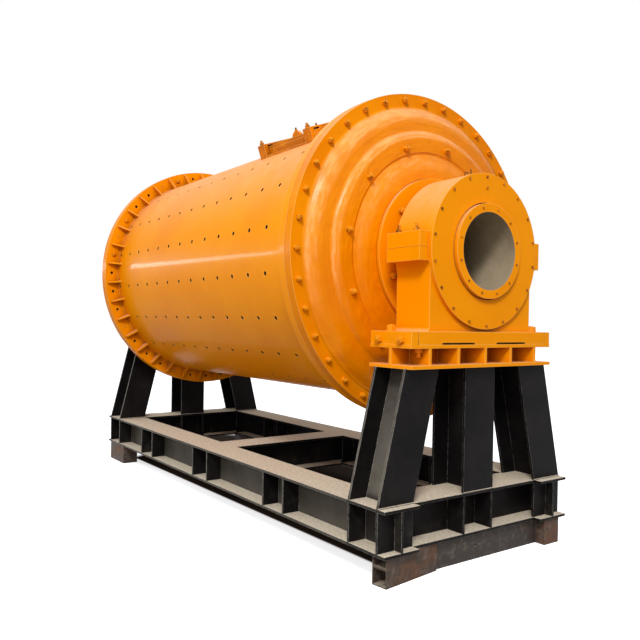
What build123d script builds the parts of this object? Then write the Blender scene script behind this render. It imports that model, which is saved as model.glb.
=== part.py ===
from build123d import *
from math import cos, radians, sin, sqrt
import os

os.makedirs("parts", exist_ok=True)

# Ball mill of 1830 mm bore on a welded stand, in millimetres.
# X runs along the drum with the feed end at +X, Z is up, and the origin lies
# on the ground below the middle of the stand.

# Packing under the stand
packing_height = 165
packing_wall = 6
packing_tube_width = 100
lower_tube_height = 100
packing_tube_length = 436
packing_tube_setback = 18
packing_tube_inset = 35
packing_tube_angle = 7
channel_setback = 86
channel_width = 75
channel_web = 10
channel_hole_radius = 10
channel_hole_setback = 575
right_block_setback = 71
right_block_inset = 192
right_block_length = 145
right_block_width = 110
far_block_length = 350
far_block_width = 140
far_block_setback = 241

# Stand of rolled H-beams
beam_depth = 254
beam_width = 258
beam_flange = 16
beam_web = 12
base_overhang = 54
base_half_width = 792
stiffener_plate = 14
stiffener_pair_pitch = 1045
middle_beam_x = -45
leg_height = 738
leg_head_inset = 128

# Bearings
sole_plate = 20
sole_margin = 7
sole_edge = 2
sole_rib_height = 93
sole_rib = 18
sole_rib_pitch = 230
sole_rib_count = 5
sole_top_plate = 20
foot_height = 73
foot_margin = 33
foot_reach = 112
foot_slot_length = 272
foot_slot_height = 11
foot_slot_depth = 60
foot_slot_y = 231
bracket_width = 54
housing_half_length = 132
housing_wall = 140
housing_fillet = 25
cap_wall = 155
ear_reach = 85
lower_ear_height = 80
upper_ear_height = 86
end_plate = 24
end_plate_lip = 3
end_plate_to_foot = 15
inner_plate = 22
inner_plate_inset = 15

# Drum shell and its flanges
drum_length = 3100
drum_offset = -24
shell_radius = 933
shell_wall = 18
near_flange_height = 108
near_flange = 58
near_cover_flange = 59
far_flange_height = 120
far_flange = 45
far_cover_flange = 45
flange_chamfer = 5
gusset_count = 36
gusset_plate = 14
gusset_root_length = 90
gusset_tip_length = 28
gusset_inset = 16
gear_hole_radius = 13
gear_hole_count = 12

# Hollow trunnions
trunnion_bore_radius = 228
nose_wall = 51
journal_step = 21
trunnion_flange_height = 188
trunnion_flange = 46
trunnion_chamfer = 25
neck_gap = 37
end_ring = 30
end_ring_stand_out = 25

# End cover casting: heights stand out from its flange face, and places lie
# between the trunnion's flange, at 0, and the outside of the shell, at 1
cover_seat = 84
cover_back = 24
hub_edge_height = 108
hub_dome_rise = 8
liner_ring_height = 86
liner_ring_step = 10
ridge_height = 108
valley_height = 58
shoulder_bulge = 14
shoulder_margin = 17
liner_ring_inner_place = 0.384
liner_ring_outer_place = 0.584
ridge_place = 0.69
valley_place = 0.75

# Manhole on the shell
manhole_x = 701
manhole_angle = 110
manhole_length = 660
manhole_width = 400
manhole_frame_wall = 45
manhole_frame_height = 27
manhole_cover_plate = 20
manhole_ledge = 16
cover_margin = 6
clamp_width = 84
clamp_plate = 10
clamp_rib = 28
clamp_rib_height = 13
clamp_leg = 30
clamp_inset = 44
lug_length = 100
lug_height = 44
lug_shoulder = 12
lug_plate = 20
lug_offset = 95

# Running and fitting clearances
journal_clearance = 0.3
plate_clearance = 6
fit = 0.4

# Places that follow from the sizes above
nose_radius = trunnion_bore_radius + nose_wall
journal_radius = nose_radius + journal_step
trunnion_flange_radius = journal_radius + trunnion_flange_height
near_flange_radius = shell_radius + near_flange_height
far_flange_radius = shell_radius + far_flange_height
near_face_x = drum_length / 2 + drum_offset
far_face_x = drum_offset - drum_length / 2
near_joint_x = near_face_x - near_cover_flange
far_joint_x = far_face_x + far_cover_flange

pedestal_half_width = journal_radius + housing_wall
cap_radius = journal_radius + cap_wall
ear_half_width = pedestal_half_width + ear_reach
foot_half_width = pedestal_half_width + foot_reach
foot_half_length = housing_half_length + foot_margin
sole_half_length = foot_half_length + sole_margin
sole_half_width = foot_half_width + bracket_width + sole_edge
end_plate_radius = cap_radius + end_plate_lip
axis_above_foot = end_plate_radius + end_plate_to_foot
housing_bore = journal_radius + journal_clearance
bearing_x = -far_face_x + cover_seat + trunnion_flange + neck_gap + inner_plate + housing_half_length

base_half_length = bearing_x + beam_depth / 2 + base_overhang
beam_y = base_half_width - beam_width / 2
leg_head_y = sole_half_width - leg_head_inset
base_bottom = packing_height
base_mid = base_bottom + beam_depth / 2
base_top = base_bottom + beam_depth
sole_bottom = base_top + leg_height
rib_bottom = sole_bottom + sole_plate
rib_top = rib_bottom + sole_rib_height
foot_bottom = rib_top + sole_top_plate
foot_top = foot_bottom + foot_height
axis_height = foot_top + axis_above_foot

packing_tube_corner = (base_half_length - packing_tube_setback, packing_tube_inset - base_half_width)
packing_joint_y = packing_tube_corner[1] + packing_tube_length
channel_x = base_half_length - channel_setback
right_block_x = base_half_length - right_block_setback
right_block_y = base_half_width - right_block_inset
far_block_x = far_block_setback - base_half_length

drum_axis = Axis((0, 0, axis_height), (1, 0, 0))
across = Plane((0, 0, axis_height), x_dir=(0, 1, 0), z_dir=(1, 0, 0))
ends = {"near": 1, "far": -1}
sides = {"left": -1, "right": 1}


def keep(piece, name):
    """Label a finished piece and write it to its own file."""
    piece.part.label = name
    export_step(piece.part, f"parts/{name}.step")


def h_section(depth_rotation=0):
    """H-beam section in the current sketch, web along Y unless turned."""
    flange_offset = (beam_depth - beam_flange) / 2
    with Locations(Rotation(0, 0, depth_rotation)):
        Rectangle(beam_web, beam_depth)
        with Locations((0, flange_offset), (0, -flange_offset)):
            Rectangle(beam_width, beam_flange)


def cross_plane(x):
    """Sketch plane square to the drum at x, centred on the drum's axis."""
    return across.offset(x)


def outward_plane(end, face):
    """Half-section plane of one end: x runs outwards from face, y is radius."""
    return Plane((face, 0, axis_height), x_dir=(end, 0, 0), z_dir=(0, -end, 0))


# Packing that keeps the stand off the ground
def packing_tube(name, height, bottom):
    """Open box tube laid askew under the near left corner of the stand."""
    tube_end = Plane((*packing_tube_corner, bottom), x_dir=(-1, 0, 0), z_dir=(0, 1, 0))
    with BuildPart() as tube:
        with BuildSketch(tube_end.rotated((0, 0, packing_tube_angle))):
            with Locations((packing_tube_width / 2, height / 2)):
                Rectangle(packing_tube_width, height)
                Rectangle(
                    packing_tube_width - 2 * packing_wall,
                    height - 2 * packing_wall,
                    mode=Mode.SUBTRACT,
                )
        extrude(amount=packing_tube_length)
    keep(tube, name)


packing_tube("near_left_lower_packing_tube", lower_tube_height, 0)
packing_tube("near_left_upper_packing_tube", packing_height - lower_tube_height, lower_tube_height)

with BuildPart() as packing_channel:
    with BuildSketch(Plane.XZ.offset(-right_block_y)):
        with Locations((channel_x - channel_web / 2, packing_height / 2)):
            Rectangle(channel_web, packing_height)
        with Locations((channel_x - channel_width / 2, packing_height / 2)):
            with GridLocations(0, packing_height - channel_web, 1, 2):
                Rectangle(channel_width, channel_web)
    extrude(amount=right_block_y - packing_joint_y)
    hole_y = right_block_y - channel_hole_setback
    with Locations(Plane((channel_x, hole_y, packing_height / 2), z_dir=(1, 0, 0))):
        Hole(channel_hole_radius, depth=channel_web)
keep(packing_channel, "near_packing_channel")

with BuildPart() as right_block:
    with Locations((right_block_x, right_block_y + right_block_length / 2, packing_height / 2)):
        Box(right_block_width, right_block_length, packing_height)
keep(right_block, "near_right_packing_block")

for side_name, side in sides.items():
    with BuildPart() as far_block:
        far_block_y = side * (base_half_width - far_block_width / 2)
        with Locations((far_block_x, far_block_y, packing_height / 2)):
            Box(far_block_length, far_block_width, packing_height)
    keep(far_block, f"far_{side_name}_packing_block")


# Base frame: two long beams joined by three cross beams, with pairs of
# stiffeners under the legs, at the middle beam and half way between
leg_pair_xs = [end * bearing_x for end in ends.values()]
span_pair_xs = [middle_beam_x + step * stiffener_pair_pitch for step in (-1, 0, 1)]
stiffener_width = (beam_width - beam_web) / 2
stiffener_height = beam_depth - 2 * beam_flange
stiffener_offset = (beam_web + stiffener_width) / 2

for side_name, side in sides.items():
    with BuildPart() as long_beam:
        with BuildSketch(Plane.YZ.offset(-base_half_length)):
            with Locations((side * beam_y, base_mid)):
                h_section()
        extrude(amount=2 * base_half_length)
        for x in leg_pair_xs + span_pair_xs:
            with Locations((x, side * beam_y, base_mid)):
                with GridLocations(beam_depth - beam_flange, 2 * stiffener_offset, 2, 2):
                    Box(stiffener_plate, stiffener_width, stiffener_height)
    keep(long_beam, f"{side_name}_long_beam")


def cross_beam(name, x, stiffened):
    """H-beam between the long beams, its web running on to their webs."""
    flange_length = 2 * (beam_y - beam_width / 2)
    web_length = 2 * (beam_y - beam_web / 2)
    with BuildPart() as beam:
        with Locations((x, 0, base_mid)):
            Box(beam_web, web_length, stiffener_height)
        for level in (base_bottom + beam_flange / 2, base_top - beam_flange / 2):
            with Locations((x, 0, level)):
                Box(beam_width, flange_length, beam_flange)
        if stiffened:
            for y in (-beam_width / 2 + stiffener_plate / 2, beam_width / 2 - stiffener_plate / 2):
                with Locations(
                    (x - stiffener_offset, y, base_mid),
                    (x + stiffener_offset, y, base_mid),
                ):
                    Box(stiffener_width, stiffener_plate, stiffener_height)
    keep(beam, name)


cross_beam("near_cross_beam", bearing_x, True)
cross_beam("middle_cross_beam", middle_beam_x, False)
cross_beam("far_cross_beam", -bearing_x, True)


# Legs: three H-beams under each bearing, the outer two leaning inwards
def leg(name, x, foot_y, head_y):
    """Leg from the base frame up to the bearing sole, flanges facing along X."""
    with BuildPart() as post:
        with BuildSketch(Plane.XY.offset(base_top)):
            with Locations((x, foot_y)):
                h_section(90)
        rise = Vector(0, head_y - foot_y, leg_height)
        extrude(amount=rise.length, dir=rise)
    keep(post, name)


for end_name, end in ends.items():
    leg(f"{end_name}_left_leg", end * bearing_x, -beam_y, -leg_head_y)
    leg(f"{end_name}_center_leg", end * bearing_x, 0, 0)
    leg(f"{end_name}_right_leg", end * bearing_x, beam_y, leg_head_y)


# Bearings: ribbed sole, split housing and the plates that close it
def bearing_sole(name, x):
    """Welded sole: bottom and top plates with a lengthways web and cross ribs."""
    with BuildPart() as sole:
        with Locations((x, 0, sole_bottom + sole_plate / 2)):
            Box(2 * sole_half_length, 2 * sole_half_width, sole_plate)
        with Locations((x, 0, rib_top + sole_top_plate / 2)):
            Box(2 * foot_half_length, 2 * sole_half_width, sole_top_plate)
        with Locations((x, 0, rib_bottom + sole_rib_height / 2)):
            Box(sole_rib, 2 * sole_half_width, sole_rib_height)
            with GridLocations(0, sole_rib_pitch, 1, sole_rib_count):
                Box(2 * foot_half_length, sole_rib, sole_rib_height)
        for side in sides.values():
            bracket_y = side * (foot_half_width + bracket_width / 2)
            with Locations((x, bracket_y, foot_bottom + foot_height / 2)):
                Box(2 * foot_half_length, bracket_width - 2 * fit, foot_height)
    keep(sole, name)


def bearing_pedestal(name, x):
    """Lower half of the housing, cast in one with its foot."""
    with BuildPart() as pedestal:
        with BuildSketch(cross_plane(x - housing_half_length)):
            with Locations((0, -axis_above_foot / 2)):
                Rectangle(2 * pedestal_half_width, axis_above_foot)
            with Locations((0, -lower_ear_height / 2)):
                Rectangle(2 * ear_half_width, lower_ear_height)
            Circle(housing_bore, mode=Mode.SUBTRACT)
        extrude(amount=2 * housing_half_length)
        with Locations((x, 0, foot_bottom + foot_height / 2)):
            Box(2 * foot_half_length, 2 * foot_half_width, foot_height)
        ear_roots = [
            edge
            for edge in pedestal.edges().filter_by(Axis.X)
            if abs(abs(edge.center().Y) - pedestal_half_width) < 1
            and edge.center().Z < axis_height - lower_ear_height / 2
        ]
        fillet(ear_roots, housing_fillet)
        for end in ends.values():
            slot_x = x + end * (foot_half_length - foot_slot_depth / 2)
            with Locations((slot_x, 0, foot_bottom + foot_slot_height / 2)):
                with GridLocations(0, 2 * foot_slot_y, 1, 2):
                    Box(foot_slot_depth, foot_slot_length, foot_slot_height, mode=Mode.SUBTRACT)
    keep(pedestal, name)


def bearing_cap(name, x):
    """Upper half of the housing with its two bolting ears."""
    with BuildPart() as cap:
        with BuildSketch(cross_plane(x - housing_half_length)):
            Circle(cap_radius)
            with Locations((0, upper_ear_height / 2)):
                Rectangle(2 * ear_half_width, upper_ear_height)
            with Locations((0, -cap_radius / 2)):
                Rectangle(2 * cap_radius, cap_radius, mode=Mode.SUBTRACT)
            Circle(housing_bore, mode=Mode.SUBTRACT)
        extrude(amount=2 * housing_half_length)
    keep(cap, name)


def ring_plate(name, x, thickness, outer, inner):
    """Flat ring square to the drum, from x onwards."""
    with BuildPart() as ring:
        with BuildSketch(cross_plane(x)):
            Circle(outer)
            Circle(inner, mode=Mode.SUBTRACT)
        extrude(amount=thickness)
    keep(ring, name)


for end_name, end in ends.items():
    bearing_sole(f"{end_name}_bearing_sole", end * bearing_x)
    bearing_pedestal(f"{end_name}_bearing_pedestal", end * bearing_x)
    bearing_cap(f"{end_name}_bearing_cap", end * bearing_x)
    outer_x = end * (bearing_x + housing_half_length)
    inner_x = end * (bearing_x - housing_half_length)
    outer_hole = nose_radius + plate_clearance
    inner_hole = journal_radius + plate_clearance
    ring_plate(f"{end_name}_outer_end_plate", outer_x, end * end_plate, end_plate_radius, outer_hole)
    ring_plate(
        f"{end_name}_inner_end_plate", inner_x, -end * inner_plate, cap_radius - inner_plate_inset, inner_hole
    )


# Drum: rolled shell with a flange at each end
with BuildPart() as shell:
    with BuildSketch(cross_plane(far_joint_x)):
        Circle(shell_radius)
        Circle(shell_radius - shell_wall, mode=Mode.SUBTRACT)
    extrude(amount=near_joint_x - far_joint_x)
keep(shell, "shell")

with BuildPart() as near_shell_flange:
    with BuildSketch(cross_plane(near_joint_x - near_flange)):
        Circle(near_flange_radius)
        Circle(shell_radius + fit, mode=Mode.SUBTRACT)
    extrude(amount=near_flange)
    joint_rim = near_shell_flange.faces().sort_by(Axis.X)[-1].outer_wire().edges()
    chamfer(joint_rim, flange_chamfer)
keep(near_shell_flange, "near_shell_flange")

# The far flange carries the drive gear: gussets stand between its bolt holes
with BuildPart() as gear_flange:
    with BuildSketch(cross_plane(far_joint_x)):
        Circle(far_flange_radius)
        Circle(shell_radius + fit, mode=Mode.SUBTRACT)
        with PolarLocations((shell_radius + far_flange_radius) / 2, gear_hole_count):
            Circle(gear_hole_radius, mode=Mode.SUBTRACT)
    extrude(amount=far_flange)
    flange_front_x = far_joint_x + far_flange
    half_step = 180 / gusset_count
    with BuildSketch(outward_plane(1, flange_front_x).rotated((half_step, 0, 0))):
        root = shell_radius + 2 * fit
        tip = far_flange_radius - gusset_inset
        with BuildLine():
            Polyline((0, root), (gusset_root_length, root), (gusset_tip_length, tip), (0, tip), close=True)
        make_face()
    gusset = extrude(amount=gusset_plate / 2, both=True, mode=Mode.PRIVATE)
    for step in range(gusset_count):
        add(gusset.rotate(drum_axis, step * 360 / gusset_count))
keep(gear_flange, "far_gear_flange")


# End covers: cast in one, stepped out from the flange to the hub
def cover_radius(place):
    """Radius at a place between the trunnion's flange and the outside of the shell."""
    hub = trunnion_flange_radius + fit
    return hub + place * (shell_radius - hub)


def end_cover(name, end, face, flange, radius):
    """Revolved cover with a rounded shoulder, a ridge, a liner-bolt ring and a domed hub."""
    ring_inner = cover_radius(liner_ring_inner_place)
    ring_outer = cover_radius(liner_ring_outer_place)
    valley = (valley_height, cover_radius(valley_place))
    shoulder = (0, shell_radius + shoulder_margin)
    shoulder_middle = (
        valley_height / 2 + shoulder_bulge,
        (valley[1] + shoulder[1]) / 2 + shoulder_bulge,
    )
    hub_edge = (hub_edge_height, cover_radius(0))
    dome_foot = (liner_ring_height - liner_ring_step, ring_inner - liner_ring_step)
    dome_middle = (
        (hub_edge[0] + dome_foot[0]) / 2 + hub_dome_rise,
        (hub_edge[1] + dome_foot[1]) / 2,
    )
    with BuildPart() as cover:
        with BuildSketch(outward_plane(end, face)):
            with BuildLine():
                Polyline(
                    shoulder,
                    (0, radius),
                    (-flange + flange_chamfer, radius),
                    (-flange, radius - flange_chamfer),
                    (-flange, shell_radius - 2 * shell_wall),
                    (cover_back, ring_outer),
                    (cover_back, journal_radius),
                    (cover_seat, journal_radius),
                    (cover_seat, hub_edge[1]),
                    hub_edge,
                )
                ThreePointArc(hub_edge, dome_middle, dome_foot)
                Polyline(dome_foot, (liner_ring_height, ring_inner), (liner_ring_height, ring_outer))
                ThreePointArc(
                    (liner_ring_height, ring_outer),
                    (ridge_height, cover_radius(ridge_place)),
                    valley,
                )
                ThreePointArc(valley, shoulder_middle, shoulder)
            make_face()
        revolve(axis=drum_axis)
    keep(cover, name)


end_cover("near_end_cover", 1, near_face_x, near_cover_flange, near_flange_radius)
end_cover("far_end_cover", -1, far_face_x, far_cover_flange, far_flange_radius)


# Trunnions: hollow flanged journals that the bearings carry
def trunnion(name, end, face):
    """Flange and spigot in the end cover, journal in the housing, nose through the end plate."""
    run = abs(face)
    housing_end = bearing_x + housing_half_length - run
    journal_end = housing_end - 2 * plate_clearance
    nose_end = housing_end + end_plate + end_ring_stand_out - end_ring
    flange_face = cover_seat + trunnion_flange
    with BuildPart() as journal:
        with BuildSketch(outward_plane(end, face)):
            with BuildLine():
                Polyline(
                    (flange_face, journal_radius + trunnion_chamfer),
                    (flange_face, trunnion_flange_radius),
                    (cover_seat, trunnion_flange_radius),
                    (cover_seat, journal_radius - fit),
                    (cover_back, journal_radius - fit),
                    (cover_back, trunnion_bore_radius),
                    (nose_end, trunnion_bore_radius),
                    (nose_end, nose_radius),
                    (journal_end, nose_radius),
                    (journal_end, journal_radius),
                    (flange_face + trunnion_chamfer, journal_radius),
                    close=True,
                )
            make_face()
        revolve(axis=drum_axis)
    keep(journal, name)
    ring_x = end * (run + nose_end)
    ring_plate(f"{name}_end_ring", ring_x, end * end_ring, nose_radius, trunnion_bore_radius)


trunnion("near_trunnion", 1, near_face_x)
trunnion("far_trunnion", -1, far_face_x)


# Manhole: a frame welded to the shell, a flat cover with two lugs, and two clamps
manhole_plane = Plane(
    (manhole_x, 0, axis_height),
    x_dir=(1, 0, 0),
    z_dir=(0, cos(radians(manhole_angle)), sin(radians(manhole_angle))),
)
cover_bottom = shell_radius + manhole_frame_height
cover_top = cover_bottom + manhole_cover_plate
clamp_bottom = cover_top + clamp_rib_height
clamp_reach = manhole_width / 2 + fit + clamp_leg
ledge_bottom = sqrt(shell_radius**2 - clamp_reach**2)
frame_root = ledge_bottom - shell_wall
clamp_x = manhole_length / 2 - clamp_inset
ledge_length = 2 * (clamp_x - fit) - clamp_width


def trim_to_shell():
    """Cut the current part back to the outside of the shell."""
    with Locations(Location((manhole_x, 0, axis_height), (0, 90, 0))):
        Cylinder(shell_radius + fit, 2 * manhole_length, mode=Mode.SUBTRACT)


with BuildPart() as manhole_frame:
    with BuildSketch(manhole_plane.offset(frame_root)):
        Rectangle(manhole_length, manhole_width)
    extrude(amount=cover_bottom - frame_root)
    with BuildSketch(manhole_plane.offset(frame_root)):
        Rectangle(ledge_length, 2 * clamp_reach)
    extrude(amount=ledge_bottom + manhole_ledge - frame_root)
    with BuildSketch(manhole_plane.offset(frame_root)):
        Rectangle(manhole_length - 2 * manhole_frame_wall, manhole_width - 2 * manhole_frame_wall)
    extrude(amount=cover_bottom - frame_root, mode=Mode.SUBTRACT)
    trim_to_shell()
keep(manhole_frame, "manhole_frame")

with BuildPart() as manhole_cover:
    with BuildSketch(manhole_plane.offset(cover_bottom)):
        Rectangle(manhole_length - 2 * cover_margin, manhole_width - 2 * cover_margin)
    extrude(amount=manhole_cover_plate)
    for side in sides.values():
        lug_foot = manhole_plane.from_local_coords((0, side * lug_offset, cover_top))
        with BuildSketch(Plane(lug_foot, x_dir=(1, 0, 0), z_dir=-manhole_plane.y_dir)):
            with BuildLine():
                lug_foot_line = Polyline(
                    (-lug_length / 2, lug_shoulder),
                    (-lug_length / 2, 0),
                    (lug_length / 2, 0),
                    (lug_length / 2, lug_shoulder),
                )
                ThreePointArc(lug_foot_line @ 1, (0, lug_height), lug_foot_line @ 0)
            make_face()
        extrude(amount=lug_plate / 2, both=True)
keep(manhole_cover, "manhole_cover")

with BuildPart() as manhole_clamps:
    with BuildSketch(manhole_plane.offset(clamp_bottom)):
        with GridLocations(2 * clamp_x, 0, 2, 1):
            Rectangle(clamp_width, 2 * clamp_reach)
    extrude(amount=clamp_plate)
    with BuildSketch(manhole_plane.offset(cover_top)):
        with GridLocations(2 * clamp_x, 0, 2, 1):
            Rectangle(clamp_rib, manhole_width)
    extrude(amount=clamp_rib_height)
    with BuildSketch(manhole_plane.offset(frame_root)):
        with GridLocations(2 * clamp_x, 2 * clamp_reach - clamp_leg, 2, 2):
            Rectangle(clamp_width, clamp_leg)
    extrude(amount=clamp_bottom - frame_root)
    trim_to_shell()
keep(manhole_clamps, "manhole_clamps")
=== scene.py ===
from math import ceil, cos, pi, radians, sin

import bmesh
import bpy
from mathutils import Matrix, Vector


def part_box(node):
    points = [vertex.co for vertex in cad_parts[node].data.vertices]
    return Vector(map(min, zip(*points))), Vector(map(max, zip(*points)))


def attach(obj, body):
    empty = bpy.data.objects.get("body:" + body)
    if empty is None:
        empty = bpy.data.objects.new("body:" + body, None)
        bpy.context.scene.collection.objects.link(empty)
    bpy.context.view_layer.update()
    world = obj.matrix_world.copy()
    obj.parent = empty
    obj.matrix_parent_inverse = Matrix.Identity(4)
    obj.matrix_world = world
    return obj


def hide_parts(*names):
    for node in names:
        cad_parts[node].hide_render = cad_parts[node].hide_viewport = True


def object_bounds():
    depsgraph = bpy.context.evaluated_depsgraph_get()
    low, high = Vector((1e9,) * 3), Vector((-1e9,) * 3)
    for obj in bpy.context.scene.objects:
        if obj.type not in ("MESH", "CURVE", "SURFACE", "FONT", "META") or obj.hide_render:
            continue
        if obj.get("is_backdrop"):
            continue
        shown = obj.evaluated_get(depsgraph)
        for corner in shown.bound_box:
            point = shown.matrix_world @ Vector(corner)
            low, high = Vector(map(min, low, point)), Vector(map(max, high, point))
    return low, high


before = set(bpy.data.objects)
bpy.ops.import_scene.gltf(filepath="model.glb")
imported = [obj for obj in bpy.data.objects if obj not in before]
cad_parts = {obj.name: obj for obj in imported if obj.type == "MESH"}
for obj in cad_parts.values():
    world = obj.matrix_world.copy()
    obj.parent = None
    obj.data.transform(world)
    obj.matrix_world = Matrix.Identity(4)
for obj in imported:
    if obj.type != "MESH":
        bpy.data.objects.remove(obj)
cad_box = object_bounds()


# Viewpoint. The mill is seen from its feed end and left side, from eye height,
# with the lens level to within a degree.
eye = Vector((4.702, -3.209, 1.407))
eye_azimuth = radians(55.39)
eye_tilt_down = 0.0136
eye_roll = 0.0155
view_camera = bpy.data.objects.new("view_camera", bpy.data.cameras.new("view_camera"))
view_camera.data.lens = 38.28
view_camera.data.shift_x = 0.0434
view_camera.data.shift_y = 0.0169
view_camera.matrix_world = (
    Matrix.Translation(eye)
    @ Matrix.Rotation(eye_azimuth, 4, "Z")
    @ Matrix.Rotation(pi / 2 - eye_tilt_down, 4, "X")
    @ Matrix.Rotation(eye_roll, 4, "Z")
)
bpy.context.collection.objects.link(view_camera)
bpy.context.scene.camera = view_camera
bpy.context.scene.view_settings.view_transform = "Standard"


# Packing. Scrap steel keeps the stand off the ground: two box tubes, a channel
# and a block under the feed end, two blocks under the far end, all rusted with
# dust on top. They only lie there, so nothing fixes them.
class Tone:
    """A socket in a finish's nodes. Arithmetic on it adds Math nodes to the finish."""

    def __init__(self, tree, socket=None):
        self.tree = tree
        self.socket = socket

    def plug(self, node, sockets):
        """Give a node's sockets their values or links."""
        for key, value in sockets.items():
            if isinstance(value, Tone):
                self.tree.links.new(value.socket, node.inputs[key])
            else:
                node.inputs[key].default_value = value

    def node(self, kind, settings, sockets, output=0):
        """Add a node: its settings first, then the values or links of its sockets."""
        made = self.tree.nodes.new(f"ShaderNode{kind}")
        for name, value in settings.items():
            setattr(made, name, value)
        self.plug(made, sockets)
        return Tone(self.tree, made.outputs[output])

    def math(self, operation, first, second):
        """Add a Math node."""
        return self.node("Math", {"operation": operation}, {0: first, 1: second})

    def __add__(self, other):
        return self.math("ADD", self, other)

    __radd__ = __add__

    def __sub__(self, other):
        return self.math("SUBTRACT", self, other)

    def __rsub__(self, other):
        return self.math("SUBTRACT", other, self)

    def __mul__(self, other):
        return self.math("MULTIPLY", self, other)

    __rmul__ = __mul__


def srgb(red, green, blue):
    """A colour as seen on a screen, 0 to 255, as the linear colour that shaders take."""
    screen = [channel / 255 for channel in (red, green, blue)]
    linear = [c / 12.92 if c <= 0.04045 else ((c + 0.055) / 1.055) ** 2.4 for c in screen]
    return (*linear, 1)


def finish(name):
    """A new material, its shader node, a start for its nodes, and its place on the piece."""
    material = bpy.data.materials.new(name)
    material.use_nodes = True
    tree = material.node_tree
    start = Tone(tree)
    place = start.node("TexCoord", {}, {}, "Object")
    return material, tree.nodes["Principled BSDF"], start, place


def grain(place, scale, detail=5, roughness=0.6):
    """Cloudy noise with this many lumps a metre, from 0 to 1."""
    return place.node(
        "TexNoise", {}, {"Vector": place, "Scale": scale, "Detail": detail, "Roughness": roughness}
    )


def rise(value, low, high):
    """0 below low, 1 above high and smooth between them."""
    return value.node(
        "MapRange",
        {"interpolation_type": "SMOOTHSTEP"},
        {"Value": value, "From Min": low, "From Max": high},
    )


def blend(factor, first, second):
    """Colour that goes from first to second as factor goes from 0 to 1."""
    return factor.node("Mix", {"data_type": "RGBA"}, {"Factor": factor, 6: first, 7: second}, 2)


def relief(height, normal):
    """Surface normal over lumps of this height, in metres, on a rounded normal."""
    return height.node("Bump", {}, {"Height": height, "Distance": 1.0, "Normal": normal})


def part_of(vector, axis_index):
    """One of a vector's three parts."""
    return vector.node("SeparateXYZ", {}, {0: vector}, axis_index)


def upward(start, low, high):
    """1 where the surface faces the sky."""
    return rise(part_of(start.node("NewGeometry", {}, {}, "Normal"), 2), low, high)


def rounded(start, radius):
    """Normal as if every edge were rounded to this radius."""
    return start.node("Bevel", {"samples": 6}, {"Radius": radius})


def edges(start, radius):
    """1 along edges, within about this distance of them."""
    normal = start.node("NewGeometry", {}, {}, "Normal")
    both = {0: rounded(start, radius), 1: normal}
    flatness = start.node("VectorMath", {"operation": "DOT_PRODUCT"}, both, "Value")
    return rise(1 - flatness, 0.02, 0.22)


def dress(material, *names):
    """Give CAD pieces their finish."""
    for name in names:
        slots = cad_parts[name].data.materials
        slots.clear()
        slots.append(material)


def rusted_steel(name, scale_colour, rust_colour, rust_share):
    """Mill scale broken by rust, with dust lying on top and bright rubbed corners."""
    material, shader, start, place = finish(name)
    patches = grain(place, 7, 7, 0.68)
    pits = grain(place, 110, 4, 0.7)
    rust = rise(patches + 0.35 * pits, 1.02 - rust_share, 1.24 - rust_share)
    colour = blend(rust, srgb(*scale_colour), srgb(*rust_colour))
    colour = blend(rise(pits, 0.5, 0.75) * 0.6, colour, srgb(36, 28, 24))
    colour = blend(rise(grain(place, 19, 6, 0.7), 0.48, 0.7) * 0.5, colour, srgb(128, 114, 102))
    colour = blend(edges(start, 0.004) * 0.55, colour, srgb(150, 122, 100))
    dust = upward(start, 0.6, 0.95) * rise(grain(place, 24), 0.3, 0.6)
    colour = blend(dust * 0.8, colour, srgb(172, 158, 136))
    start.plug(
        shader,
        {
            "Base Color": colour,
            "Roughness": 0.6 + 0.3 * rust,
            "Specular IOR Level": 0.2,
            "Normal": relief(0.0012 * pits + 0.0008 * patches, rounded(start, 0.003)),
        },
    )
    return material


rusty_tube = rusted_steel("rusty_tube", (70, 58, 51), (112, 82, 64), 0.4)
dark_channel = rusted_steel("dark_channel", (60, 53, 49), (92, 74, 62), 0.3)
dress(rusty_tube, "near_left_lower_packing_tube", "near_left_upper_packing_tube")
dress(rusty_tube, "near_right_packing_block", "far_left_packing_block", "far_right_packing_block")
dress(dark_channel, "near_packing_channel")


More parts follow.
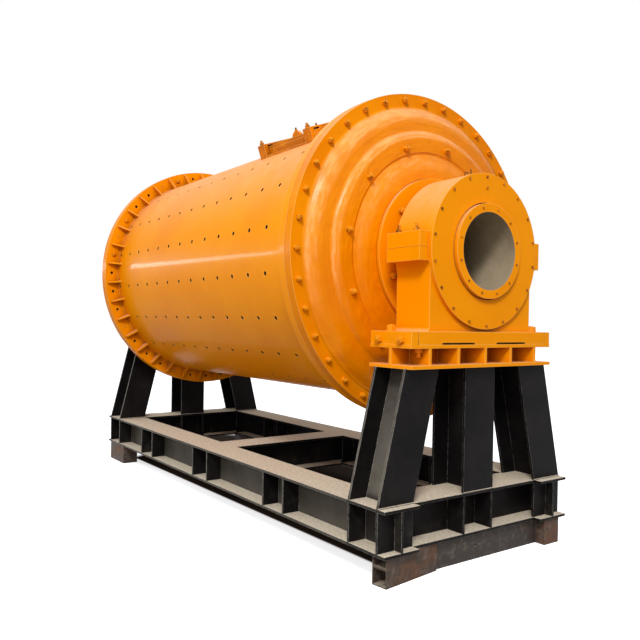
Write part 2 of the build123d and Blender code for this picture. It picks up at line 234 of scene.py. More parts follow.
# Base frame and legs. Rolled H-beams cut square and welded, sprayed black all
# over. Yard dust lies on every flange, and the paint is rubbed off the edges.
# The faces towards -Y carry a pale film, dust and a painted reflection of a
# bright horizon, and their worn edges are painted paler still.
def black_paint(name):
    """Satin black paint, pale along worn edges, dusty where it faces up, with dust and a painted
    reflection on the faces towards -Y.
    """
    material, shader, start, place = finish(name)
    mottle = grain(place, 3.5, 6, 0.6)
    speck = grain(place, 90, 3, 0.7)
    colour = blend(rise(mottle, 0.35, 0.75), srgb(17, 15, 15), srgb(32, 29, 28))
    # Faces towards -Y on the -Y side of the stand: painted reflection of a bright horizon, with
    # dust.
    dust_and_sheen_side = rise(0 - part_of(start.node("NewGeometry", {}, {}, "Normal"), 1), 0.5, 0.9)
    dust_and_sheen_side = dust_and_sheen_side * rise(0 - part_of(place, 1), 0.3, 0.42)
    height = part_of(place, 2)
    stub = rise(part_of(place, 0), 1.72, 1.8) * (1 - rise(height, 0.42, 0.46))
    dust_and_sheen = dust_and_sheen_side * rise(grain(place, 4, 7, 0.65), 0.0, 0.65) * (1 - 0.7 * stub)
    dust_and_sheen = dust_and_sheen * (0.42 + 0.33 * rise(height, 0.4, 0.5) - 0.4 * rise(height, 0.5, 1.2))
    colour = blend(dust_and_sheen, colour, srgb(122, 115, 104))
    splash = rise(1 - height, 0.55, 0.85) * rise(grain(place, 9, 6), 0.5, 0.8)
    colour = blend(splash * 0.25, colour, srgb(96, 88, 74))
    # Worn edges, painted paler on the -Y faces as a painted highlight.
    worn = edges(start, 0.005) * rise(grain(place, 34, 4, 0.7), 0.36, 0.58)
    colour = blend(worn * (0.35 + 0.65 * dust_and_sheen_side), colour, srgb(190, 186, 178))
    dust = upward(start, 0.55, 0.9) * rise(grain(place, 7, 7, 0.7), 0.05, 0.4)
    dust_tint = rise(grain(place, 60, 5, 0.7), 0.35, 0.7)
    dust_colour = blend(dust_tint, srgb(196, 180, 156), srgb(226, 212, 190))
    colour = blend(dust * 0.95, colour, dust_colour)
    start.plug(
        shader,
        {
            "Base Color": colour,
            "Roughness": 0.4 + 0.2 * mottle + 0.4 * dust,
            "Specular IOR Level": 0.05,
            "Normal": relief(0.0007 * mottle + 0.00018 * speck, rounded(start, 0.003)),
        },
    )
    return material


stand_black = black_paint("stand_black")
stand_ends = ("near", "far")
leg_names = [f"{end}_{side}_leg" for end in stand_ends for side in ("left", "center", "right")]
dress(stand_black, "left_long_beam", "right_long_beam")
dress(stand_black, *(f"{place}_cross_beam" for place in ("near", "middle", "far")))
dress(stand_black, *leg_names)


def piece(name, shape, material, body, crease=35):
    """Make a finished shape an object that rides on a body and is smooth up to an angle."""
    mesh = bpy.data.meshes.new(name)
    bmesh.ops.recalc_face_normals(shape, faces=shape.faces)
    shape.to_mesh(mesh)
    shape.free()
    mesh.shade_smooth()
    mesh.set_sharp_from_angle(angle=radians(crease))
    mesh.materials.append(material)
    made = bpy.data.objects.new(name, mesh)
    bpy.context.collection.objects.link(made)
    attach(made, body)
    return made


def weld(shape, start, end, leg):
    """Fillet weld from start to end: a row of overlapping ripples, leg wide."""
    run = Vector(end) - Vector(start)
    count = max(2, ceil(run.length / (0.9 * leg)))
    turn = run.to_track_quat("X", "Z").to_matrix().to_4x4()
    size = Matrix.Diagonal((0.8 * leg, 0.75 * leg, 0.75 * leg, 1))
    for step in range(count):
        centre = Vector(start) + run * ((step + 0.5) / count)
        bmesh.ops.create_icosphere(
            shape, subdivisions=1, radius=1, matrix=Matrix.Translation(centre) @ turn @ size
        )


leg_weld = 0.010
flange_width = 0.258
leg_welds = bmesh.new()
for leg_name in leg_names:
    low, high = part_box(leg_name)
    lean = 0 if "center" in leg_name else (high.y - low.y - flange_width)
    inward = -1 if "right" in leg_name else 1
    foot_y = low.y if inward > 0 else high.y - flange_width
    for x in (low.x, high.x):
        for z, shift in ((low.z, 0), (high.z, inward * lean)):
            y = foot_y + shift
            weld(leg_welds, (x, y, z), (x, y + flange_width, z), leg_weld)
piece("leg_welds", leg_welds, stand_black, "stand")


# Bearings. Each sole is welded from plate and bolted under a cast housing that
# is split at the axis. Everything is sprayed with the same orange enamel, and
# the bolts and screws are oily where it has come off.
def skin(place, lump_scale, lump_height, wrinkle_height):
    """Height of a sprayed surface, in metres: broad lumps and fine wrinkles."""
    lumps = grain(place, lump_scale, 3, 0.5)
    wrinkles = grain(place, 115, 3, 0.55)
    return lump_height * lumps + wrinkle_height * wrinkles


def enamel_nodes(start, place, tones, surface, grime_and_shade=0.35, shade=0.85, edge_highlight=0.75):
    """Colour, roughness and normal of orange enamel between two tones, over a surface's height,
    with painted shade in crevices, painted highlights on edges, and dust with a painted sky
    reflection on faces that look up.
    """
    drift = grain(place, 1.6, 4)
    colour = blend(rise(drift, 0.3, 0.7), srgb(*tones[0]), srgb(*tones[1]))
    # Random darker patches: dirt, and where their share is high, painted shade.
    dirt_and_shade_patches = rise(grain(place, 5, 7, 0.7), 0.75 - 0.5 * grime_and_shade, 1.0 - 0.5 * grime_and_shade)
    colour = blend(dirt_and_shade_patches * grime_and_shade, colour, srgb(190, 102, 4))
    # Painted shade: the colour darkens to brown where ambient occlusion finds corners, creases and
    # recesses.
    crevice_shade = 1 - start.node("AmbientOcclusion", {"samples": 6}, {"Distance": 0.1}, "AO")
    colour = blend(rise(crevice_shade, 0.25, 0.95) * shade, colour, srgb(110, 48, 4))
    # Painted highlight: pale yellow along every edge, where light catches the rounded corners.
    colour = blend(edges(start, 0.008) * edge_highlight, colour, srgb(255, 198, 100))
    # Faces that look up turn pale pink: dust and a painted reflection of the sky.
    dust_and_sheen = upward(start, 0.15, 0.95) * (0.7 + 0.5 * rise(grain(place, 12, 6, 0.7), 0.3, 0.7))
    colour = blend(dust_and_sheen * 0.36, colour, srgb(234, 194, 168))
    roughness = 0.36 + 0.12 * drift + 0.2 * dust_and_sheen
    return colour, roughness, relief(surface, rounded(start, 0.003))


enamel_specular = 0.02


def enamel(name, tones, coat, grime_and_shade=0.35, edge_highlight=0.75):
    """Orange enamel on plate: thick glossy spray coat."""
    material, shader, start, place = finish(name)
    surface = skin(place, 5, 0.002, 0.0003)
    colour, roughness, normal = enamel_nodes(start, place, tones, surface, grime_and_shade, edge_highlight=edge_highlight)
    start.plug(
        shader,
        {
            "Base Color": colour,
            "Roughness": roughness,
            "Normal": normal,
            "Specular IOR Level": enamel_specular,
            "Coat Weight": coat,
            "Coat Roughness": 0.15,
        },
    )
    return material


plate_tones = ((246, 146, 0), (252, 154, 4))
plate_enamel = enamel("plate_enamel", plate_tones, 0.07)
bearing_pieces = ("sole", "pedestal", "cap")
plate_sides = ("outer", "inner")
dress(plate_enamel, *(f"{end}_bearing_{part}" for end in stand_ends for part in bearing_pieces))
dress(plate_enamel, *(f"{end}_{side}_end_plate" for end in stand_ends for side in plate_sides))


def oily_bolt(name, spray_share):
    """Bolt steel with the orange spray half wiped off and oil in the corners."""
    material, shader, start, place = finish(name)
    spray = rise(grain(place, 38, 4, 0.7), 0.8 - spray_share, 1.02 - spray_share)
    oil = rise(grain(place, 80, 4, 0.7), 0.4, 0.62)
    colour = blend(oil, srgb(150, 88, 12), srgb(66, 40, 12))
    colour = blend(spray * 0.85, colour, srgb(244, 150, 4))
    start.plug(
        shader,
        {
            "Base Color": colour,
            "Metallic": 0.1 - 0.1 * spray,
            "Roughness": 0.36 + 0.2 * oil,
            "Specular IOR Level": 0.2,
            "Normal": relief(0.0004 * oil, rounded(start, 0.0015)),
        },
    )
    return material


bolt_finish = oily_bolt("oily_bolt", 0.5)
screw_finish = oily_bolt("oily_screw", 0.38)
sprayed_bolt = oily_bolt("sprayed_bolt", 0.6)


def hexagon(across, height, stud_radius, stud_height, washer_radius=0, washer_height=0):
    """Pattern mesh of a washer, a hexagon and a stud end, standing on z = 0."""
    shape = bmesh.new()

    def turned(segments, radius, bottom, depth, chamfer):
        made = bmesh.ops.create_cone(
            shape,
            cap_ends=True,
            segments=segments,
            radius1=radius,
            radius2=radius,
            depth=depth,
            matrix=Matrix.Translation((0, 0, bottom + depth / 2)),
        )["verts"]
        top = max(vert.co.z for vert in made)
        rim = [
            edge
            for edge in {edge for vert in made for edge in vert.link_edges}
            if all(abs(vert.co.z - top) < 1e-6 for vert in edge.verts)
        ]
        bmesh.ops.bevel(
            shape, geom=rim, offset=chamfer, segments=1, profile=0.5, affect="EDGES", material=-1
        )

    if washer_radius:
        turned(16, washer_radius, 0, washer_height, 0.2 * washer_height)
    turned(6, across / 3**0.5, washer_height, height, 0.12 * height)
    if stud_height:
        turned(10, stud_radius, washer_height, height + stud_height, 0.2 * stud_radius)
    pattern = bpy.data.meshes.new("pattern")
    shape.to_mesh(pattern)
    shape.free()
    return pattern


bolt_turn = 1.3


def stamp(shape, pattern, seats):
    """Add a copy of a pattern to a shape on each seat, a matrix whose z points off the seat."""
    for count, seat in enumerate(seats):
        before = len(shape.verts)
        shape.from_mesh(pattern)
        shape.verts.ensure_lookup_table()
        spin = Matrix.Rotation(bolt_turn * count, 4, "Z")
        bmesh.ops.transform(shape, matrix=seat @ spin, verts=shape.verts[before:])


def facing(point, direction):
    """Seat at a point, with its z along a direction."""
    turn = Vector(direction).to_track_quat("Z", "Y").to_matrix().to_4x4()
    return Matrix.Translation(point) @ turn


axis = sum(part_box("shell"), Vector()) / 2


def arm_at(angle):
    """Direction straight off the drum's axis. Angles are in degrees from +Y."""
    return Vector((0, cos(radians(angle)), sin(radians(angle))))


def drum_point(x, radius, angle):
    """Point at a place along the drum's axis, a radius off it and an angle round it."""
    return Vector((x, axis.y, axis.z)) + radius * arm_at(angle)


def circle_seats(angles, radius, x, outward):
    """Seats on a circle round the drum's axis, facing along X."""
    for angle in angles:
        yield facing(drum_point(x, radius, angle), (outward, 0, 0))


def spread(count, first=0):
    """Angles of evenly spread places, in degrees."""
    return [first + 360 * step / count for step in range(count)]


end_signs = (1, -1)
bolt_crease = 25
foot_bolt_x = 0.095
foot_bolt_y = 0.515
foot_bolt = hexagon(0.050, 0.030, 0.015, 0.004, 0.031, 0.004)
hanging_bolt_x = 0.100
hanging_bolt_y = 0.485
hanging_bolt = hexagon(0.040, 0.022, 0.012, 0.026, 0.026, 0.004)
jack_screw_x = 0.090
jack_screw_drop = 0.046
jack_screw_sink = 0.0024
jack_screw = hexagon(0.040, 0.024, 0.011, 0.008)
cap_stud_x = 0.070
cap_stud_y = 0.490
cap_stud = hexagon(0.032, 0.016, 0.009, 0.028, 0.019, 0.003)
ear_height = 0.086
sealant = 0.003
oil_plug_x = -0.010
oil_plug = hexagon(0.024, 0.042, 0.006, 0)
oil_pin_x = 0.025
oil_pin = hexagon(0.011, 0.053, 0.004, 0)
plate_screws = 18
plate_screw_first = 11
plate_screw_inset = 0.021
plate_screw = hexagon(0.015, 0.007, 0.005, 0)
lone_screw_angle = 91
lone_screw_inset = 0.065
sole_top_plate = 0.020
foot_half_width = 0.554
seam_shadow_width = 0.004
gap_proud = 0.001
for end, outward in zip(stand_ends, end_signs):
    cap_low, cap_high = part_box(f"{end}_bearing_cap")
    sole_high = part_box(f"{end}_bearing_sole")[1]
    foot_low, foot_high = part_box(f"{end}_bearing_pedestal")
    plate_low, plate_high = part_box(f"{end}_outer_end_plate")
    middle = (cap_low.x + cap_high.x) / 2
    ear_top = cap_low.z + ear_height
    jack_y = sole_high.y - jack_screw_sink
    jack_z = sole_high.z - jack_screw_drop
    bolts = bmesh.new()
    screws = bmesh.new()
    for across in (-1, 1):
        foot = Vector((middle + outward * across * foot_bolt_x, across * foot_bolt_y, sole_high.z))
        stamp(bolts, foot_bolt, [facing(foot, (0, 0, 1))])
        hanging_x = middle - outward * across * hanging_bolt_x
        hanging = Vector((hanging_x, across * hanging_bolt_y, foot_low.z - sole_top_plate))
        stamp(bolts, hanging_bolt, [facing(hanging, (0, 0, -1))])
        for along in (-1, 1):
            stud = Vector((middle + along * cap_stud_x, across * cap_stud_y, ear_top))
            stamp(screws, cap_stud, [facing(stud, (0, 0, 1))])
            jack = Vector((middle + along * jack_screw_x, across * jack_y, jack_z))
            stamp(bolts, jack_screw, [facing(jack, (0, across, 0))])
        ear = [Vector((x, across * cap_high.y, cap_low.z)) for x in (cap_low.x, cap_high.x)]
        weld(bolts, *ear, sealant)
        for corner in ear:
            weld(bolts, corner, (corner.x, across * plate_high.y, corner.z), sealant)
    piece(f"{end}_bearing_bolts", bolts, sprayed_bolt, "stand", bolt_crease)
    gap_length = foot_high.x - foot_low.x + gap_proud
    gap_height = sole_high.z - foot_low.z + gap_proud
    # Painted shadow: a thin dark strip down the seam between the bracket and the foot, on each
    # side.
    for across in (-1, 1):
        gap_place = (middle, across * foot_half_width, (foot_low.z + sole_high.z) / 2)
        gap_size = Matrix.Diagonal((gap_length, seam_shadow_width, gap_height, 1))
        bmesh.ops.create_cube(screws, size=1, matrix=Matrix.Translation(gap_place) @ gap_size)
    plate_face = plate_high.x if outward > 0 else plate_low.x
    plate_radius = (plate_high.y - plate_low.y) / 2 - plate_screw_inset
    plate_angles = spread(plate_screws, plate_screw_first)
    lone_radius = plate_radius - lone_screw_inset
    stamp(screws, plate_screw, circle_seats(plate_angles, plate_radius, plate_face, outward))
    stamp(screws, plate_screw, circle_seats([lone_screw_angle], lone_radius, plate_face, outward))
    for fitting, fitting_x in ((oil_plug, oil_plug_x), (oil_pin, oil_pin_x)):
        cap_top = Vector((middle + outward * fitting_x, 0, cap_high.z))
        stamp(screws, fitting, [facing(cap_top, (0, 0, 1))])
    piece(f"{end}_bearing_screws", screws, screw_finish, "stand", bolt_crease)


# Drum shell. Rolled plate, drilled right through for the liner bolts in twenty
# rows along the drum. No liner is in, so the holes are open, and their walls
# are painted nearly black: unpainted steel and painted shade.
def off_axis(start, place):
    """The drum's axis taken as origin: the spoke out to the surface, and its length."""
    spoke = start.node("VectorMath", {"operation": "SUBTRACT"}, {0: place, 1: axis})
    spoke = start.node("VectorMath", {"operation": "MULTIPLY"}, {0: spoke, 1: (0, 1, 1)})
    return spoke, start.node("VectorMath", {"operation": "LENGTH"}, {0: spoke}, "Value")


def lined_enamel(name, tones, surface_of, bare_radius, bare_dark, bare_light):
    """Enamel outside a radius from the drum's axis, and bare steel within it."""
    material, shader, start, place = finish(name)
    colour, roughness, normal = enamel_nodes(start, place, tones, skin(place, *surface_of))
    painted = rise(off_axis(start, place)[1], bare_radius, bare_radius + 0.002)
    steel = blend(rise(grain(place, 14, 6, 0.6), 0.3, 0.7), srgb(*bare_dark), srgb(*bare_light))
    start.plug(
        shader,
        {
            "Base Color": blend(painted, steel, colour),
            "Roughness": 0.6 + painted * (roughness - 0.6),
            "Normal": normal,
            "Specular IOR Level": enamel_specular,
            "Coat Weight": 0.06 * painted,
            "Coat Roughness": 0.1,
        },
    )
    return material


shell_low, shell_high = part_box("shell")
shell_radius = (shell_high.y - shell_low.y) / 2
# Bare steel within the wall, on the hole walls and inside, is nearly black: unpainted steel
# darkened as painted shade, so the holes look dark.
shell_enamel = lined_enamel(
    "shell_enamel",
    ((243, 143, 0), (250, 154, 2)),
    (2.2, 0.003, 0.0007),
    shell_radius - 0.0035,
    (34, 24, 18),
    (48, 36, 28),
)
shell_wall = 0.018
shell_sides = 240
liner_rows = 20
liner_row_first = 8
liner_hole_radius = 0.0145
liner_hole_sides = 14
liner_hole_pitch = 0.210
liner_hole_first = 1.080
liner_holes_in_row = 13
manhole_low, manhole_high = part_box("manhole_frame")
manhole_angle = 110
manhole_clear = 15
manhole_margin = 0.03


def ring(shape, sides, corners):
    """Ring spun round the drum's axis from the corners of its section, each an x and a radius."""
    section = [shape.verts.new((x, axis.y, axis.z + radius)) for x, radius in corners]
    outline = [shape.edges.new((section[at - 1], section[at])) for at in range(len(section))]
    bmesh.ops.spin(
        shape,
        geom=section + outline,
        cent=axis,
        axis=(1, 0, 0),
        angle=2 * pi,
        steps=sides,
        use_merge=True,
    )
    bmesh.ops.recalc_face_normals(shape, faces=shape.faces)


def tube(shape, sides, outer, inner, start_x, end_x):
    """Open-ended plate tube round the drum's axis."""
    ring(shape, sides, [(start_x, outer), (end_x, outer), (end_x, inner), (start_x, inner)])


def drilled(name, shape, drills):
    """Mesh of a shape with the drills cut out of it."""
    pieces = []
    for label, source in ((name, shape), (f"{name}_drills", drills)):
        mesh = bpy.data.meshes.new(label)
        bmesh.ops.recalc_face_normals(source, faces=source.faces)
        source.to_mesh(mesh)
        source.free()
        pieces.append(bpy.data.objects.new(label, mesh))
        bpy.context.collection.objects.link(pieces[-1])
    body, cutter = pieces
    cut = body.modifiers.new("drill", "BOOLEAN")
    cut.object = cutter
    cut.solver = "MANIFOLD"
    cut_body = body.evaluated_get(bpy.context.evaluated_depsgraph_get())
    mesh = bpy.data.meshes.new_from_object(cut_body)
    for done in pieces:
        bpy.data.objects.remove(done)
    result = bmesh.new()
    result.from_mesh(mesh)
    bpy.data.meshes.remove(mesh)
    return result


def drill(shape, seat, radius, depth, sides):
    """Cutter for a round hole, centred on a seat."""
    bmesh.ops.create_cone(
        shape,
        cap_ends=True,
        segments=sides,
        radius1=radius,
        radius2=radius,
        depth=depth,
        matrix=seat,
    )


shell_plate = bmesh.new()
tube(shell_plate, shell_sides, shell_radius, shell_radius - shell_wall, shell_low.x, shell_high.x)
liner_drills = bmesh.new()
for angle in spread(liner_rows, liner_row_first):
    for hole in range(liner_holes_in_row):
        x = liner_hole_first - hole * liner_hole_pitch
        under_manhole = manhole_low.x - manhole_margin < x < manhole_high.x + manhole_margin
        if under_manhole and abs(angle - manhole_angle) < manhole_clear:
            continue
        seat = facing(drum_point(x, shell_radius - shell_wall / 2, angle), arm_at(angle))
        drill(liner_drills, seat, liner_hole_radius, 3 * shell_wall, liner_hole_sides)
shell = piece(
    "drilled_shell",
    drilled("shell_plate", shell_plate, liner_drills),
    shell_enamel,
    "drum",
)
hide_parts("shell")


def round_normals(made, least_lean=0.98):
    """Shade a drum piece as truly round: faces that point off the axis follow the radius."""
    mesh = made.data
    normals = []
    for face in mesh.polygons:
        for corner in face.vertices:
            spoke = mesh.vertices[corner].co - axis
            spoke.x = 0
            spoke.normalize()
            lean = face.normal.dot(spoke)
            normals.append(spoke * lean if abs(lean) > least_lean else face.normal)
    mesh.normals_split_custom_set(normals)


round_normals(shell)


# Shell flanges. A ring is welded round each end of the shell. The near one is
# studded to the end cover all the way round; the far one is wider, drilled for
# the drive gear, and stiffened by a gusset between every two holes.
dress(plate_enamel, "near_shell_flange")
flange_tones = ((238, 141, 0), (247, 153, 4))
gear_enamel = enamel("gear_enamel", flange_tones, 0.02, edge_highlight=0.3)
joint_low, joint_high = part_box("near_shell_flange")
joint_radius = (joint_high.y - joint_low.y) / 2
near_cover_flange = 0.059
near_face = joint_high.x + near_cover_flange
near_back = joint_low.x
flange_studs = 36
flange_nut = hexagon(0.031, 0.017, 0.010, 0.012, 0.018, 0.003)
near_head = hexagon(0.031, 0.016, 0.010, 0, 0.018, 0.003)
near_stud_radius = 1.000
near_stud_first = 0.6
near_angles = spread(flange_studs, near_stud_first)
near_studs = bmesh.new()
stamp(near_studs, flange_nut, circle_seats(near_angles, near_stud_radius, near_face, 1))
stamp(near_studs, near_head, circle_seats(near_angles, near_stud_radius, near_back, -1))
piece("near_flange_studs", near_studs, bolt_finish, "drum", bolt_crease)
drum_sides = 180
joint_outer = joint_radius + 0.0014
joint_inner = joint_radius - 0.010
joint_half = 0.003
joint_line = bmesh.new()
tube(
    joint_line,
    drum_sides,
    joint_outer,
    joint_inner,
    joint_high.x - joint_half,
    joint_high.x + joint_half,
)
piece("near_flange_joint", joint_line, sprayed_bolt, "drum")

gear_joint_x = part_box("far_gear_flange")[0].x
gear_flange_plate = 0.045
gear_front = gear_joint_x + gear_flange_plate
gear_middle = gear_joint_x + gear_flange_plate / 2
gear_hole_circle = 0.993
gear_hole_radius = 0.013
gear_hole_sides = 20
gear_hole_step = 10
cad_hole_step = 30
same_point = 1e-5
gear_flange_copy = bmesh.new()
gear_flange_copy.from_mesh(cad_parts["far_gear_flange"].data)
bmesh.ops.remove_doubles(gear_flange_copy, verts=gear_flange_copy.verts, dist=same_point)
gear_drills = bmesh.new()
open_angles = [angle for angle in range(0, 360, gear_hole_step) if angle % cad_hole_step]
for seat in circle_seats(open_angles, gear_hole_circle, gear_middle, 1):
    drill(gear_drills, seat, gear_hole_radius, 2 * gear_flange_plate, gear_hole_sides)
gear_flange = piece(
    "drilled_gear_flange",
    drilled("gear_flange_plate", gear_flange_copy, gear_drills),
    gear_enamel,
    "drum",
)
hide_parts("far_gear_flange")
round_normals(gear_flange)

gear_bolt = hexagon(0.034, 0.012, 0.011, 0.008, 0.020, 0.003)
gear_plug = hexagon(0.022, 0.003, 0.010, 0)
far_cover_flange = 0.045
far_face = gear_joint_x - far_cover_flange
gear_bolt_angles = (110, 150, 170, 20, 300)
gear_bolts = bmesh.new()
stamp(gear_bolts, gear_bolt, circle_seats(gear_bolt_angles, gear_hole_circle, gear_front, 1))
stamp(gear_bolts, flange_nut, circle_seats(spread(flange_studs), gear_hole_circle, far_face, -1))
piece("gear_flange_bolts", gear_bolts, bolt_finish, "drum", bolt_crease)
gear_plug_angles = (30, 70, 120, 160, 210, 250, 340)
gear_plugs = bmesh.new()
stamp(gear_plugs, gear_plug, circle_seats(gear_plug_angles, gear_hole_circle, gear_front, 1))
piece("gear_flange_plugs", gear_plugs, gear_enamel, "drum", bolt_crease)

ring_weld = 0.012
ring_weld_runs = 72
gussets = 36
gusset_first = 5
gusset_weld = 0.007
gusset_root = Vector((0.090, 0, 0))
gusset_half = 0.007
drum_welds = bmesh.new()
for x in (near_back, gear_front):
    rim = [drum_point(x, shell_radius, angle) for angle in spread(ring_weld_runs)]
    for here, there in zip(rim, rim[1:] + rim[:1]):
        weld(drum_welds, here, there, ring_weld)
for angle in spread(gussets, gusset_first):
    root = drum_point(gear_front, shell_radius, angle)
    side = gusset_half * arm_at(angle + 90)
    for foot in (root - side, root + side):
        weld(drum_welds, foot, foot + gusset_root, gusset_weld)
piece("drum_welds", drum_welds, gear_enamel, "drum")


# End covers and trunnions. Each cover is one casting, left rough under the
# paint, with a ring of liner bolts. The hollow trunnion is bolted into it and
# its bore is bare, greasy steel.
def cast_enamel(name, machined_radius):
    """Enamel over a casting: streaked round the axis and lumpy within its machined rim, and pale
    on the slopes that face up and towards -Y as a painted sky reflection.
    """
    material, shader, start, place = finish(name)
    spoke, radius = off_axis(start, place)
    rough = 1 - rise(radius, machined_radius, machined_radius + 0.012)
    turn = start.math("ARCTAN2", part_of(spoke, 1), part_of(spoke, 2))
    round_place = {0: 42 * radius, 1: 7 * turn, 2: 42 * part_of(place, 0)}
    streaks = grain(start.node("CombineXYZ", {}, round_place), 1, 5, 0.65)
    surface = rough * (0.010 * grain(place, 11, 3, 0.5) + 0.005 * streaks)
    # These and the brighter plate tones are lit and shaded copies of one enamel: painted shade for
    # the cover, which sits partly in the bearing's shade.
    tones = ((228, 125, 0), (240, 142, 0))
    colour, roughness, normal = enamel_nodes(start, place, tones, surface, 0.4, 0.35)
    # Painted reflection of the sky: slopes that face up and towards -Y turn pale peach, streaked
    # like the casting.
    sheen_facing = start.node("NewGeometry", {}, {}, "Normal")
    sheen_facing = rise(0.83 * part_of(sheen_facing, 2) - 0.55 * part_of(sheen_facing, 1), 0.06, 0.36)
    sky_sheen = rough * sheen_facing * (0.15 + 0.53 * rise(streaks, 0.42, 0.64))
    colour = blend(sky_sheen, colour, srgb(255, 178, 104))
    start.plug(
        shader,
        {
            "Base Color": colour,
            "Roughness": roughness,
            "Normal": normal,
            "Specular IOR Level": enamel_specular,
            "Coat Weight": 0.05 + 0.15 * rough,
            "Coat Roughness": 0.22,
        },
    )
    return material


cover_enamel = cast_enamel("cast_enamel", 0.952)
cover_front = (
    (0.000, 0.948, 0.012),
    (0.026, 0.922, 0.012),
    (0.044, 0.893, 0.014),
    (0.053, 0.860, 0.015),
    (0.057, 0.794, 0.009),
    (0.074, 0.778, 0.009),
    (0.086, 0.748, 0.010),
    (0.086, 0.659, 0.005),
    (0.076, 0.649, 0.006),
    (0.100, 0.569, 0.030),
    (0.108, 0.489, 0.004),
)
cover_back = ((0.084, 0.489), (0.084, 0.306), (0.024, 0.306), (0.024, 0.748))
cover_lip = 0.897
cover_chamfer = 0.004
fillet_steps = 4


def on_bend(edge, x, radius):
    """Whether an edge runs round the drum's axis at this x and radius."""
    spokes = [vert.co - axis for vert in edge.verts]
    level = all(abs(spoke.x - (x - axis.x)) < same_point for spoke in spokes)
    return level and all(abs(spoke.yz.length - radius) < same_point for spoke in spokes)


def cover_casting(name, end_x, outward, flange):
    """End cover turned from its section, with a cast fillet at every bend of its front."""
    low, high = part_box(name)
    radius = (high.y - low.y) / 2
    corners = [(height, bend) for height, bend, fillet in cover_front]
    corners += [*cover_back, (-flange, cover_lip), (-flange, radius - cover_chamfer)]
    corners += [(cover_chamfer - flange, radius), (0, radius)]
    shape = bmesh.new()
    ring(shape, drum_sides, [(end_x + outward * height, bend) for height, bend in corners])
    for height, bend, fillet in cover_front:
        x = end_x + outward * height
        bmesh.ops.bevel(
            shape,
            geom=[edge for edge in shape.edges if on_bend(edge, x, bend)],
            offset=fillet,
            segments=fillet_steps,
            profile=0.5,
            affect="EDGES",
            material=-1,
        )
    casting = piece(f"{name}_casting", shape, cover_enamel, "drum")
    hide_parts(name)


cover_casting("near_end_cover", near_face, 1, near_cover_flange)
cover_casting("far_end_cover", far_face, -1, far_cover_flange)

ring_low, ring_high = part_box("near_trunnion_end_ring")
bore_radius = 0.228
trunnion_enamel = lined_enamel(
    "trunnion_enamel",
    plate_tones,
    (5, 0.002, 0.0003),
    bore_radius,
    (146, 130, 106),
    (156, 140, 116),
)
dress(trunnion_enamel, *(f"{end}_trunnion" for end in stand_ends))
dress(trunnion_enamel, *(f"{end}_trunnion_end_ring" for end in stand_ends))

cover_bolt_count = 12
liner_ring_height = 0.086
liner_bolt_radius = 0.697
liner_bolt = hexagon(0.035, 0.021, 0.012, 0.014, 0.021, 0.003)
liner_angles = spread(cover_bolt_count, 20.7)
trunnion_face_height = 0.130
trunnion_bolt_radius = 0.405
trunnion_bolt = hexagon(0.038, 0.023, 0.012, 0.012, 0.022, 0.003)
trunnion_angles = spread(cover_bolt_count, 21)
screw_radius = (bore_radius + (ring_high.y - ring_low.y) / 2) / 2
ring_screw = hexagon(0.013, 0.005, 0.004, 0)
screw_angles = spread(cover_bolt_count, 15)
for end, outward, face in zip(stand_ends, end_signs, (near_face, far_face)):
    low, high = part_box(f"{end}_trunnion_end_ring")
    liner_x = face + outward * liner_ring_height
    flange_x = face + outward * trunnion_face_height
    ring_x = high.x if outward > 0 else low.x
    bolts = bmesh.new()
    stamp(bolts, liner_bolt, circle_seats(liner_angles, liner_bolt_radius, liner_x, outward))
    flange_seats = circle_seats(trunnion_angles, trunnion_bolt_radius, flange_x, outward)
    stamp(bolts, trunnion_bolt, flange_seats)
    piece(f"{end}_cover_bolts", bolts, bolt_finish, "drum", bolt_crease)
    screws = bmesh.new()
    stamp(screws, ring_screw, circle_seats(screw_angles, screw_radius, ring_x, outward))
    piece(f"{end}_ring_screws", screws, screw_finish, "drum", bolt_crease)


# Manhole. A frame welded to the shell, a flat cover with two lifting lugs, and
# two clamps with a leg at each end, drawn down by studs onto a flat bar.
# Darker tones and a high share of dark patches: painted shade for the manhole's dimly lit side
# walls, as well as older, dirtier paint.
manhole_enamel = enamel("manhole_enamel", flange_tones, 0.05, 0.85)
dress(manhole_enamel, "manhole_frame", "manhole_cover", "manhole_clamps")
manhole_x = (manhole_low.x + manhole_high.x) / 2
clamp_top = 1.003
clamp_stud_x = 0.286
clamp_stud_reach = 0.215
clamp_stud = hexagon(0.030, 0.014, 0.009, 0.016, 0.018, 0.003)
lug_top = 1.023
lug_reach = 0.095
lug_stud = hexagon(0.020, 0.008, 0.007, 0.016)
manhole_out = arm_at(manhole_angle)
manhole_side = arm_at(manhole_angle + 90)


def manhole_seat(along, reach, height):
    """Seat that faces off the manhole's cover."""
    foot = Vector((manhole_x + along, axis.y, axis.z))
    return facing(foot + height * manhole_out + reach * manhole_side, manhole_out)


manhole_studs = bmesh.new()
for across in (-1, 1):
    stamp(manhole_studs, lug_stud, [manhole_seat(0, across * lug_reach, lug_top)])
    for along in (-1, 1):
        clamp_seat = manhole_seat(along * clamp_stud_x, across * clamp_stud_reach, clamp_top)
        stamp(manhole_studs, clamp_stud, [clamp_seat])
piece("manhole_studs", manhole_studs, screw_finish, "drum", bolt_crease)

clamp_plate = 0.010
bar_width, bar_length, bar_height = 0.080, 0.300, 0.013
bar_size = Matrix.Diagonal((bar_width, bar_length, bar_height, 1))
bar_turn = Matrix((Vector((1, 0, 0)), manhole_side, manhole_out)).transposed().to_4x4()
clamp_bars = bmesh.new()
for along in (-1, 1):
    seat = manhole_seat(along * clamp_stud_x, 0, clamp_top - clamp_plate - bar_height / 2)
    place = Matrix.Translation(seat.translation) @ bar_turn
    bmesh.ops.create_cube(clamp_bars, size=1, matrix=place @ bar_size)
piece("manhole_clamp_bars", clamp_bars, manhole_enamel, "drum")


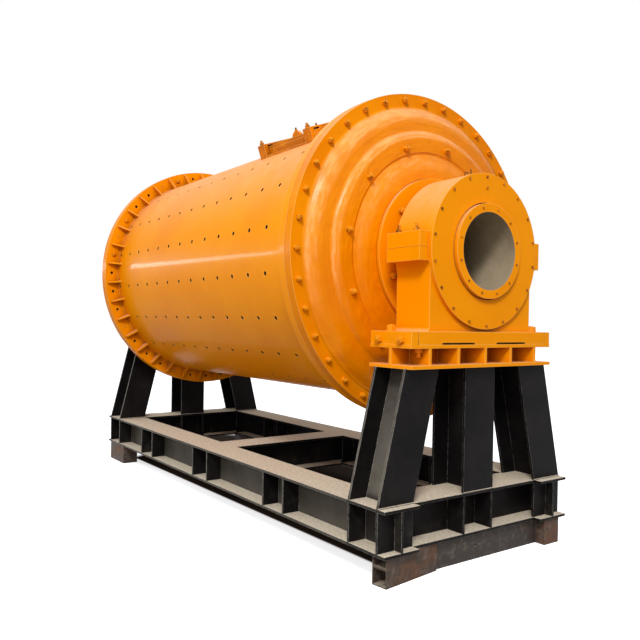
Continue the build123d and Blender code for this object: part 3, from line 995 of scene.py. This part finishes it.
# Floor and daylight. A pale floor with a painted shadow under the stand, an even
# sky that is brighter overhead, two soft lamps behind the viewer, and a long low
# strip off to the left that shines along the shell.
floor_radius = 40
floor_sides = 64
floor_shape = bmesh.new()
bmesh.ops.create_circle(floor_shape, cap_ends=True, segments=floor_sides, radius=floor_radius)
floor_mesh = bpy.data.meshes.new("floor")
floor_shape.to_mesh(floor_mesh)
floor_shape.free()
floor = bpy.data.objects.new("floor", floor_mesh)
bpy.context.collection.objects.link(floor)
floor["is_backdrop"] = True


def shown(start):
    """1 for what the viewer sees, straight or in a gloss or through glass, and 0 for its light."""
    ways = ("Is Camera Ray", "Is Glossy Ray", "Is Transmission Ray")
    camera, glossy, clear = (start.node("LightPath", {}, {}, way) for way in ways)
    return rise(camera + glossy + clear, 0.0, 1.0)


floor_finish, floor_shader, floor_start, floor_place = finish("pale_floor")
floor_seen = shown(floor_start)
floor_x = part_of(floor_place, 0)
floor_y = part_of(floor_place, 1)
# One edge of the painted shadow under the stand a row: the shares of x and y
# that measure how far out a place lies, where it is still dark, and where it is pale.
painted_shadow_edges = (
    (0.0115, -1, 0.556, 0.584),
    (0, 1, 0.98, 1.45),
    (1, 0.12, 1.86, 1.91),
    (1, 1, 2.5, 2.65),
    (-1, -0.62, 2.21, 2.31),
    (-1, 1.6, 3.9, 4.7),
)
floor_unshadowed = 0
for x_share, y_share, dark, pale in painted_shadow_edges:
    beyond = rise(x_share * floor_x + y_share * floor_y, dark, pale)
    floor_unshadowed = floor_start.math("MAXIMUM", floor_unshadowed, beyond)
# Painted shadow: dark brown floor under and beside the stand, where the floor's glow is also left
# out.
floor_colour = blend(floor_unshadowed, srgb(56, 48, 42), srgb(244, 244, 244))
floor_start.plug(
    floor_shader,
    {
        "Base Color": blend(floor_seen, srgb(136, 130, 122), floor_colour),
        "Roughness": 0.9,
        "Specular IOR Level": 0.0,
        "Emission Color": blend(floor_seen * floor_unshadowed, srgb(0, 0, 0), srgb(212, 212, 212)),
        "Emission Strength": 1.0,
    },
)
floor_mesh.materials.append(floor_finish)

sky = bpy.data.worlds.new("sky")
bpy.context.scene.world = sky
sky.use_nodes = True
sky_start = Tone(sky.node_tree)
sky_way = sky_start.node("TexCoord", {}, {}, "Generated")
sky_tone = blend(rise(part_of(sky_way, 2), 0.05, 0.5), srgb(120, 122, 126), srgb(222, 226, 232))
sky_colour = blend(shown(sky_start), sky_tone, srgb(255, 255, 255))
sky_start.plug(sky.node_tree.nodes["Background"], {"Color": sky_colour, "Strength": 1.0})


def lamp(name, place, aim, width, height, watts):
    """Soft rectangular lamp at a place, turned to a point, with its width level."""
    light = bpy.data.lights.new(name, "AREA")
    light.shape = "RECTANGLE"
    light.size = width
    light.size_y = height
    light.energy = watts
    made = bpy.data.objects.new(name, light)
    turn = (Vector(aim) - Vector(place)).to_track_quat("-Z", "Y").to_matrix().to_4x4()
    made.matrix_world = Matrix.Translation(place) @ turn
    bpy.context.collection.objects.link(made)


lamp("key_lamp", (8.2, -7.2, 9.4), (0.8, 0, 1.6), 2.8, 2.8, 1080)
lamp("side_lamp", (7.6, -8.3, 3.2), (1.2, 0, 1.8), 3.2, 3.4, 168)
lamp("shell_strip", (-8.6, -5.4, 2.82), (0.3, -0.9, 1.85), 6.0, 0.3, 225)


visual_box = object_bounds()
boxes = {"cad": cad_box, "visual": visual_box}
{name: [list(corner) for corner in box] for name, box in boxes.items()}
